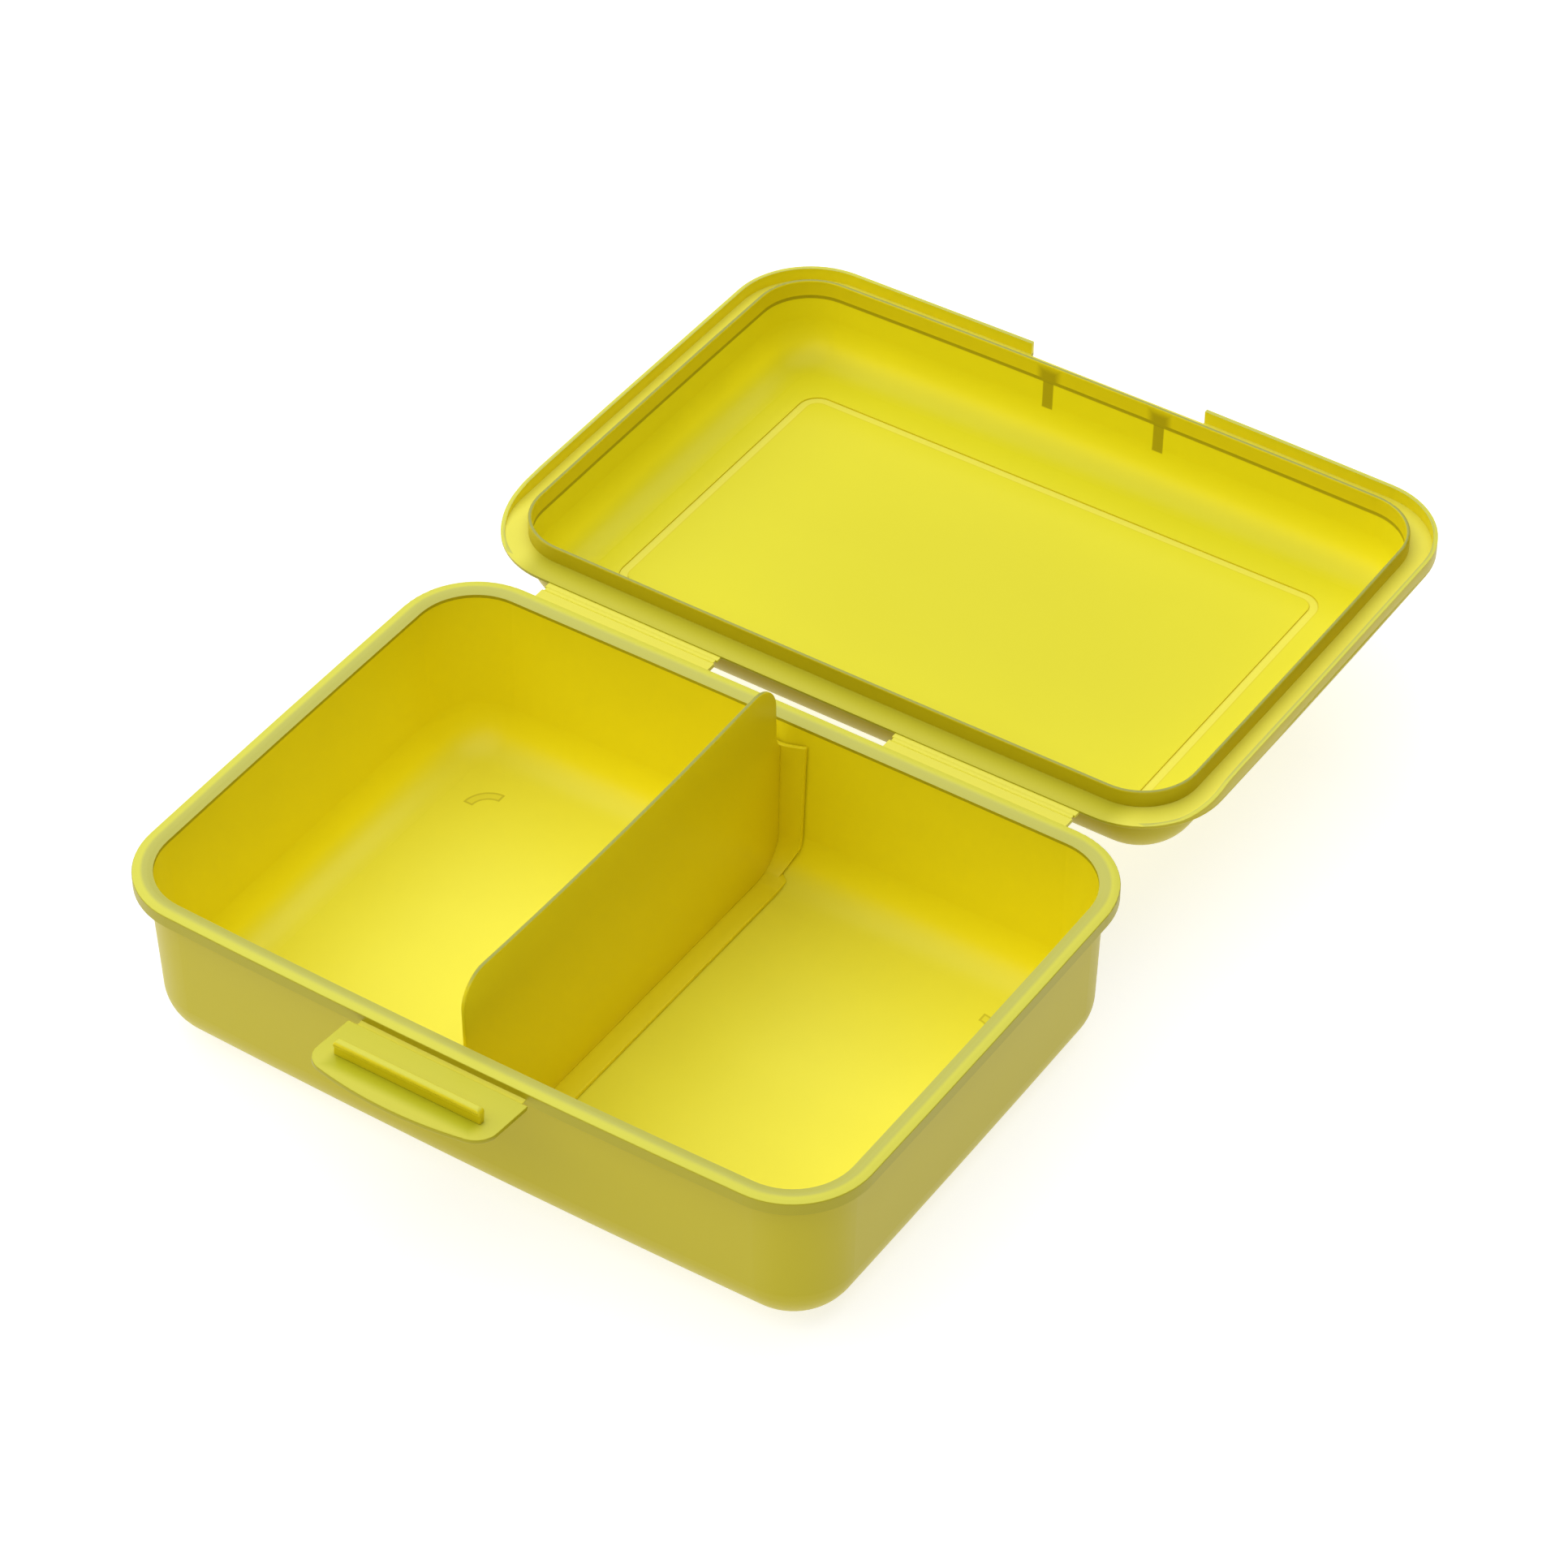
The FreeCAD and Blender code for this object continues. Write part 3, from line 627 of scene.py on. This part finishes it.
def hollow_web(name, length, width, sag, thickness, centre, tilt):
    """Thin hinge web along X, hollowed between its two folds.

    centre is the middle between the folds, and tilt raises the web's front edge.
    """
    radius = (width * width / 4 + sag * sag) / (2 * sag)
    deselect_all()
    bpy.ops.mesh.primitive_cylinder_add(
        vertices=WEB_FACETS, radius=radius, depth=length, end_fill_type="NOTHING",
        location=(0, 0, radius - sag), rotation=(0, math.pi / 2, 0))
    web = bpy.context.active_object
    web.name = name
    bpy.ops.object.transform_apply(location=True, rotation=True, scale=True)
    bpy.ops.object.mode_set(mode="EDIT")
    bpy.ops.mesh.select_all(action="SELECT")
    bpy.ops.mesh.bisect(plane_co=(0, 0, 0), plane_no=(0, 0, 1), clear_outer=True)
    bpy.ops.object.mode_set(mode="OBJECT")
    apply_modifier(web, "SOLIDIFY", thickness=thickness, offset=1)
    web.matrix_world = Matrix.Translation(centre) @ Matrix.Rotation(-tilt, 4, "X")
    activate(web)
    bpy.ops.object.transform_apply(location=True, rotation=True, scale=True)
    smooth_by_angle(web)
    return web


# ---- operators, one for each piece or group of like pieces ----

def foot_centres():
    """Centres of the four quarter-ring feet, from the feet's own box."""
    low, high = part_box("tub_feet")
    inset = Vector((FOOT_INSET, FOOT_INSET, 0))
    near = low + inset
    far = high - inset
    for sx, x in ((-1, near.x), (1, far.x)):
        for sy, y in ((-1, near.y), (1, far.y)):
            yield sx, sy, Vector((x, y, low.z))


def tub_shade_masks(tree, place):
    """Painted shade of the feet, faintly seen through the floor."""
    plastic = settings("plastic")
    group = group_named("Soft ring", soft_ring_group)
    low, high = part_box("tub_shell")
    floor = block_mask(tree, place, low, Vector((high.x, high.y, low.z + FLOOR_DEPTH)),
                       FLOOR_BLUR)
    for sx, sy, centre in foot_centres():
        mirrored = vector_node(tree, "MULTIPLY", place.outputs["Object"], (sx, sy, 1))
        ring = {"Vector": mirrored, "Centre": (sx * centre.x, sy * centre.y, 0),
                "Middle radius": FOOT_RADIUS, "Blur": FOOT_BLUR}
        whole = place_group(tree, group, {**ring, "Half width": FOOT_HALF_WIDTH})
        core = place_group(tree, group, {
            **ring, "Half width": FOOT_CORE_HALF_WIDTH, "End": FOOT_CORE_END})
        inner = math_node(tree, "MULTIPLY", core.outputs["Mask"], FOOT_CORE_SHARE)
        outline = math_node(tree, "SUBTRACT", whole.outputs["Mask"], inner)
        seen = math_node(tree, "MULTIPLY", outline, floor)
        yield math_node(tree, "MULTIPLY", seen, FOOT_SHADE_SHARE), plastic.shade


def lid_light_and_shade_masks(tree, place):
    """Painted shade of the flange and the two catch ribs seen through the dome's wall, and the
    groove's painted light band and painted shade lines.
    """
    plastic = settings("plastic")
    flange_low, flange_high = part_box("lid_flange")
    low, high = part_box("lid_shell")
    # Painted shade: a dark band where the flange meets the dome's wall, seen through it.
    band = block_mask(tree, place, Vector((low.x, low.y, flange_low.z + FLANGE_BAND_SHADE_INSET)),
                      Vector((high.x, high.y, flange_high.z - FLANGE_BAND_SHADE_INSET)), FLANGE_BAND_SHADE_BLUR)
    yield math_node(tree, "MULTIPLY", band, FLANGE_BAND_SHADE_SHARE), plastic.shade
    # Painted shade of each catch rib, seen through the wall.
    for side in SIDES:
        rib_low, rib_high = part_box("lid_catch_rib_" + side)
        rib = block_mask(tree, place, rib_low - RIB_SHADE_REACH, rib_high + RIB_SHADE_REACH, RIB_SHADE_BLUR)
        yield math_node(tree, "MULTIPLY", rib, RIB_SHADE_SHARE), plastic.shade
    # Painted light: the groove's band takes the bright film colour, as the thinner plastic lets
    # more light through.
    groove = place_group(tree, group_named("Soft frame", soft_frame_group), {
        "Vector": place.outputs["Object"], "Centre": (low + high) / 2,
        "Half size": GROOVE_HALF_SIZE, "Corner": GROOVE_CORNER,
        "Half width": GROOVE_HALF_WIDTH})
    panel = block_mask(tree, place, low, Vector((high.x, high.y, low.z + PANEL_DEPTH)),
                       PANEL_BLUR)
    yield math_node(tree, "MULTIPLY", groove.outputs["Fill"], panel), plastic.film
    # Painted shade: the groove's two edge lines take the darker lip colour.
    lines = math_node(tree, "MULTIPLY", groove.outputs["Outline"], panel)
    yield math_node(tree, "MULTIPLY", lines, GROOVE_SHADE_LINE_SHARE), plastic.lip


def lip_shadow_masks(tree, place):
    """Painted shadow: soft dark patches where the catch ribs stand behind the lip."""
    for side in SIDES:
        low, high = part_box("lid_catch_rib_" + side)
        rib_shadow = block_mask(tree, place, low - Vector((0, LIP_SHADOW_REACH, 0)),
                           high + Vector((0, LIP_SHADOW_REACH, LIP_SHADOW_RISE)),
                           LIP_SHADOW_BLUR)
        yield math_node(tree, "MULTIPLY", rib_shadow, LIP_SHADOW_SHARE), settings("plastic").shade


def flange_shadow_masks(tree, place):
    """Painted shadow: the darker strip of flange between the hinges and the lip."""
    low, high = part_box("lid_flange")
    lip_low, lip_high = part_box("lid_lip")
    strip = block_mask(
        tree, place,
        Vector((lip_low.x + FLANGE_SHADOW_INSET, low.y - FLANGE_SHADOW_REACH, low.z)),
        Vector((lip_high.x - FLANGE_SHADOW_INSET, lip_low.y, high.z)), FLANGE_SHADOW_BLUR)
    yield (math_node(tree, "MULTIPLY", strip, FLANGE_SHADOW_SHARE),
           settings("plastic").shadow)


class LUNCHBOX_OT_mouldings(bpy.types.Operator):
    """Colours the tub, rim and lid mouldings"""

    bl_idname = "lunchbox.mouldings"
    bl_label = "Tub and Lid Mouldings"

    def execute(self, context):
        plastic = settings("plastic")
        tub = plastic_material("tub plastic", plastic.level, plastic.inner, plastic.outer,
                               "tub_shell", tub_shade_masks)
        dome = plastic_material("lid plastic", plastic.panel, plastic.dome, plastic.outer,
                                "lid_shell", lid_light_and_shade_masks)
        # The rim: painted highlight on its crest, painted shade on its sides.
        rim = plastic_material("rim plastic", plastic.rim, plastic.seam, plastic.seam, "tub_rim",
                               None, plastic.crest)
        lip = plastic_material("lip plastic", plastic.rim_edge, plastic.flap, plastic.lip,
                               "lid_lip", lip_shadow_masks)
        flange = plastic_material("flange plastic", plastic.film, plastic.outer, plastic.outer,
                                  "lid_flange", flange_shadow_masks)
        materials = {"tub_shell": tub, "tub_rim": rim, "lid_shell": dome, "lid_lip": lip,
                     "lid_flange": flange}
        for node, material in materials.items():
            give_material(frame["nodes"][node], material)
        return {"FINISHED"}


class LUNCHBOX_OT_lid_skirt(bpy.types.Operator):
    """Softens the edges of the lid's outer skirt"""

    bl_idname = "lunchbox.lid_skirt"
    bl_label = "Lid Skirt"

    def execute(self, context):
        plastic = settings("plastic")
        # Painted highlight on the skirt's outward-leaning top.
        material = plastic_material("skirt plastic", plastic.rim, plastic.inner, plastic.lip,
                                    "lid_skirt", None, plastic.crest)
        skirt = softened_copy("lid_skirt", "lid_skirt_soft", settings("flap").skirt_round)
        give_material(skirt, material)
        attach(skirt, "lid")
        return {"FINISHED"}


class LUNCHBOX_OT_hinges(bpy.types.Operator):
    """Makes the two lid hinges: coloured ledges and hollow webs"""

    bl_idname = "lunchbox.hinges"
    bl_label = "Lid Hinges"

    def execute(self, context):
        plastic = settings("plastic")
        flap = settings("flap")
        thin = plastic_material("thin film", plastic.film, plastic.level, plastic.level,
                                "tub_rim")
        for side in SIDES:
            for node in ("hinge_tab_", "lid_hinge_pad_"):
                give_material(frame["nodes"][node + side], thin)
            low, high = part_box("hinge_film_" + side)
            centre = Vector(((low.x + high.x) / 2, (low.y + high.y) / 2, high.z))
            web = hollow_web("hinge_web_" + side, high.x - low.x, high.y - low.y,
                             flap.film_sag, flap.film_thick, centre, 0)
            give_material(web, thin)
            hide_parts("hinge_film_" + side)
            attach(web, "hinge_films")
        return {"FINISHED"}


class LUNCHBOX_OT_catch_ribs(bpy.types.Operator):
    """Softens the two ribs that the latch hooks over"""

    bl_idname = "lunchbox.catch_ribs"
    bl_label = "Catch Ribs"

    def execute(self, context):
        for side in SIDES:
            rib = softened_copy("lid_catch_rib_" + side, "catch_rib_" + side,
                                settings("flap").rib_round)
            give_material(rib, bpy.data.materials["skirt plastic"])
            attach(rib, "lid")
        return {"FINISHED"}


def plate_glow_masks(tree, place):
    """Painted glow: the deep green on the upper face of the plate, ahead of the catch bar."""
    low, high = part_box("latch_catch_bar")
    glow = block_mask(
        tree, place,
        Vector((low.x + GLOW_INSET, low.y - GLOW_AHEAD, low.z - GLOW_DROP)),
        Vector((high.x - GLOW_INSET, low.y + GLOW_BEHIND, high.z)), GLOW_BLUR)
    facing = tree.nodes.new("ShaderNodeSeparateXYZ")
    tree.links.new(place.outputs["Normal"], facing.inputs[0])
    above = soft_step(tree, facing.outputs["Z"], GLOW_FROM, GLOW_FULL)
    strength = math_node(tree, "MULTIPLY", above, GLOW_SHARE)
    yield math_node(tree, "MULTIPLY", glow, strength), settings("plastic").glow


class LUNCHBOX_OT_latch(bpy.types.Operator):
    """Makes the latch flap: plate, catch bar and hollow web"""

    bl_idname = "lunchbox.latch"
    bl_label = "Latch Flap"

    def execute(self, context):
        plastic = settings("plastic")
        flap = settings("flap")
        plate = softened_copy("latch_plate", "latch_plate_soft", flap.edge_round, 4)
        # Painted shade on the plate's sides, and a painted glow ahead of the catch bar.
        give_material(plate, plastic_material("latch plate plastic", plastic.plate,
                                              plastic.seam, plastic.seam, "tub_rim",
                                              plate_glow_masks))
        bar = softened_copy("latch_catch_bar", "latch_catch_bar_soft", flap.bar_round, 4)
        # Painted highlight: the catch bar's top takes the crest colour.
        give_material(bar, plastic_material("catch bar plastic", plastic.crest, plastic.flap,
                                            plastic.flap, "tub_rim"))
        for piece in (plate, bar):
            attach(piece, "latch_flap")
        folds = [Vector(j["pos_m"]) for j in frame["joints"] if j["name"].startswith("latch_")]
        across = folds[1] - folds[0]
        low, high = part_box("latch_film")
        web = hollow_web("latch_web", high.x - low.x, across.length,
                         flap.film_sag * LATCH_WEB_SAG, flap.film_thick,
                         (folds[0] + folds[1]) / 2, math.atan2(across.z, -across.y))
        give_material(web, bpy.data.materials["thin film"])
        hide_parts("latch_film")
        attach(web, "latch_hinge")
        return {"FINISHED"}


class LUNCHBOX_OT_divider(bpy.types.Operator):
    """Softens and colours the loose divider"""

    bl_idname = "lunchbox.divider"
    bl_label = "Divider"

    def execute(self, context):
        plastic = settings("plastic")
        flap = settings("flap")
        panel = plastic_material("divider plastic", plastic.rim_edge, plastic.flap, plastic.flap,
                                 "divider_panel")
        strip = plastic_material("foot strip plastic", plastic.strip, plastic.flap, plastic.flap,
                                 "divider_foot_strip")
        for node, material in (("divider_panel", panel), ("divider_foot_strip", strip)):
            piece = softened_copy(node, node + "_soft", flap.edge_round, 3)
            give_material(piece, material)
            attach(piece, "divider")
        return {"FINISHED"}


class LUNCHBOX_OT_feet(bpy.types.Operator):
    """Softens the four feet under the tub"""

    bl_idname = "lunchbox.feet"
    bl_label = "Feet"

    def execute(self, context):
        feet = softened_copy("tub_feet", "tub_feet_soft", settings("flap").foot_round)
        give_material(feet, bpy.data.materials["tub plastic"])
        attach(feet, "tub")
        return {"FINISHED"}


class LUNCHBOX_OT_stage(bpy.types.Operator):
    """Sets the white floor, the soft light and the camera"""

    bl_idname = "lunchbox.stage"
    bl_label = "Stage"

    def execute(self, context):
        stage = settings("stage")
        self.add_floor(stage.table)
        self.add_sky(stage.sky)
        self.add_softbox(stage.softbox)
        self.add_camera(stage)
        context.scene.view_settings.view_transform = "Standard"
        return {"FINISHED"}

    def add_floor(self, glow):
        """White table, a hair under the feet."""
        deselect_all()
        bpy.ops.mesh.primitive_plane_add(
            size=FLOOR_SIZE, location=(0, 0, CAD_BOX[0].z - FLOOR_GAP))
        floor = bpy.context.active_object
        floor.name = "floor"
        material = bpy.data.materials.new("floor")
        material.use_nodes = True
        shader = material.node_tree.nodes["Principled BSDF"]
        shader.inputs["Base Color"].default_value = (FLOOR_GREY, FLOOR_GREY, FLOOR_GREY, 1)
        shader.inputs["Roughness"].default_value = FLOOR_ROUGHNESS
        shader.inputs["Emission Color"].default_value = (1, 1, 1, 1)
        shader.inputs["Emission Strength"].default_value = glow
        give_material(floor, material)

    def add_sky(self, strength):
        """Even white light from all round."""
        world = bpy.data.worlds.new("sky")
        world.use_nodes = True
        background = world.node_tree.nodes["Background"]
        background.inputs["Color"].default_value = (1, 1, 1, 1)
        background.inputs["Strength"].default_value = strength
        bpy.context.scene.world = world

    def add_softbox(self, power):
        """Large soft light, overhead and to the left."""
        light = bpy.data.lights.new("softbox", "AREA")
        light.energy = power
        light.size = SOFTBOX_SIZE
        lamp = bpy.data.objects.new("softbox", light)
        lamp.location = SOFTBOX_PLACE
        bpy.context.scene.collection.objects.link(lamp)

    def add_camera(self, stage):
        """Camera aimed at the box from the set angles and distance."""
        data = bpy.data.cameras.new("camera")
        data.lens = stage.lens
        data.clip_start = NEAREST_SEEN
        camera = bpy.data.objects.new("camera", data)
        back = Vector((math.sin(stage.azimuth) * math.cos(stage.elevation),
                       -math.cos(stage.azimuth) * math.cos(stage.elevation),
                       math.sin(stage.elevation)))
        camera.location = Vector(stage.aim) + back * stage.distance
        camera.rotation_mode = "QUATERNION"
        level = (-back).to_track_quat("-Z", "Y")
        camera.rotation_quaternion = level @ Quaternion((0, 0, 1), stage.roll)
        bpy.context.scene.collection.objects.link(camera)
        bpy.context.scene.camera = camera


class LUNCHBOX_PT_panel(bpy.types.Panel):
    """Lists the lunch box's operators and settings"""

    bl_label = "Lunch Box"
    bl_idname = "LUNCHBOX_PT_panel"
    bl_space_type = "VIEW_3D"
    bl_region_type = "UI"
    bl_category = "Lunch Box"

    def draw(self, context):
        for group in SETTINGS:
            box = self.layout.box()
            for name in group.__annotations__:
                box.prop(settings(SETTINGS[group]), name)
        for operator in OPERATORS:
            self.layout.operator(operator.bl_idname)


SETTINGS = {PlasticSettings: "plastic", FlapSettings: "flap", StageSettings: "stage"}
OPERATORS = (
    LUNCHBOX_OT_mouldings,
    LUNCHBOX_OT_lid_skirt,
    LUNCHBOX_OT_hinges,
    LUNCHBOX_OT_catch_ribs,
    LUNCHBOX_OT_latch,
    LUNCHBOX_OT_divider,
    LUNCHBOX_OT_feet,
    LUNCHBOX_OT_stage,
)


def register():
    """Add the settings, the operators and the panel."""
    for group, name in SETTINGS.items():
        bpy.utils.register_class(group)
        setattr(bpy.types.Scene, "lunchbox_" + name, bpy.props.PointerProperty(type=group))
    for operator in OPERATORS:
        bpy.utils.register_class(operator)
    bpy.utils.register_class(LUNCHBOX_PT_panel)


def unregister():
    """Take the panel, the operators and the settings away again."""
    bpy.utils.unregister_class(LUNCHBOX_PT_panel)
    for operator in reversed(OPERATORS):
        bpy.utils.unregister_class(operator)
    for group, name in reversed(list(SETTINGS.items())):
        delattr(bpy.types.Scene, "lunchbox_" + name)
        bpy.utils.unregister_class(group)


def main():
    """Build the looks."""
    register()
    bpy.ops.lunchbox.mouldings()
    bpy.ops.lunchbox.lid_skirt()
    bpy.ops.lunchbox.hinges()
    bpy.ops.lunchbox.catch_ribs()
    bpy.ops.lunchbox.latch()
    bpy.ops.lunchbox.divider()
    bpy.ops.lunchbox.feet()
    bpy.ops.lunchbox.stage()


if __name__ == "__main__":
    main()
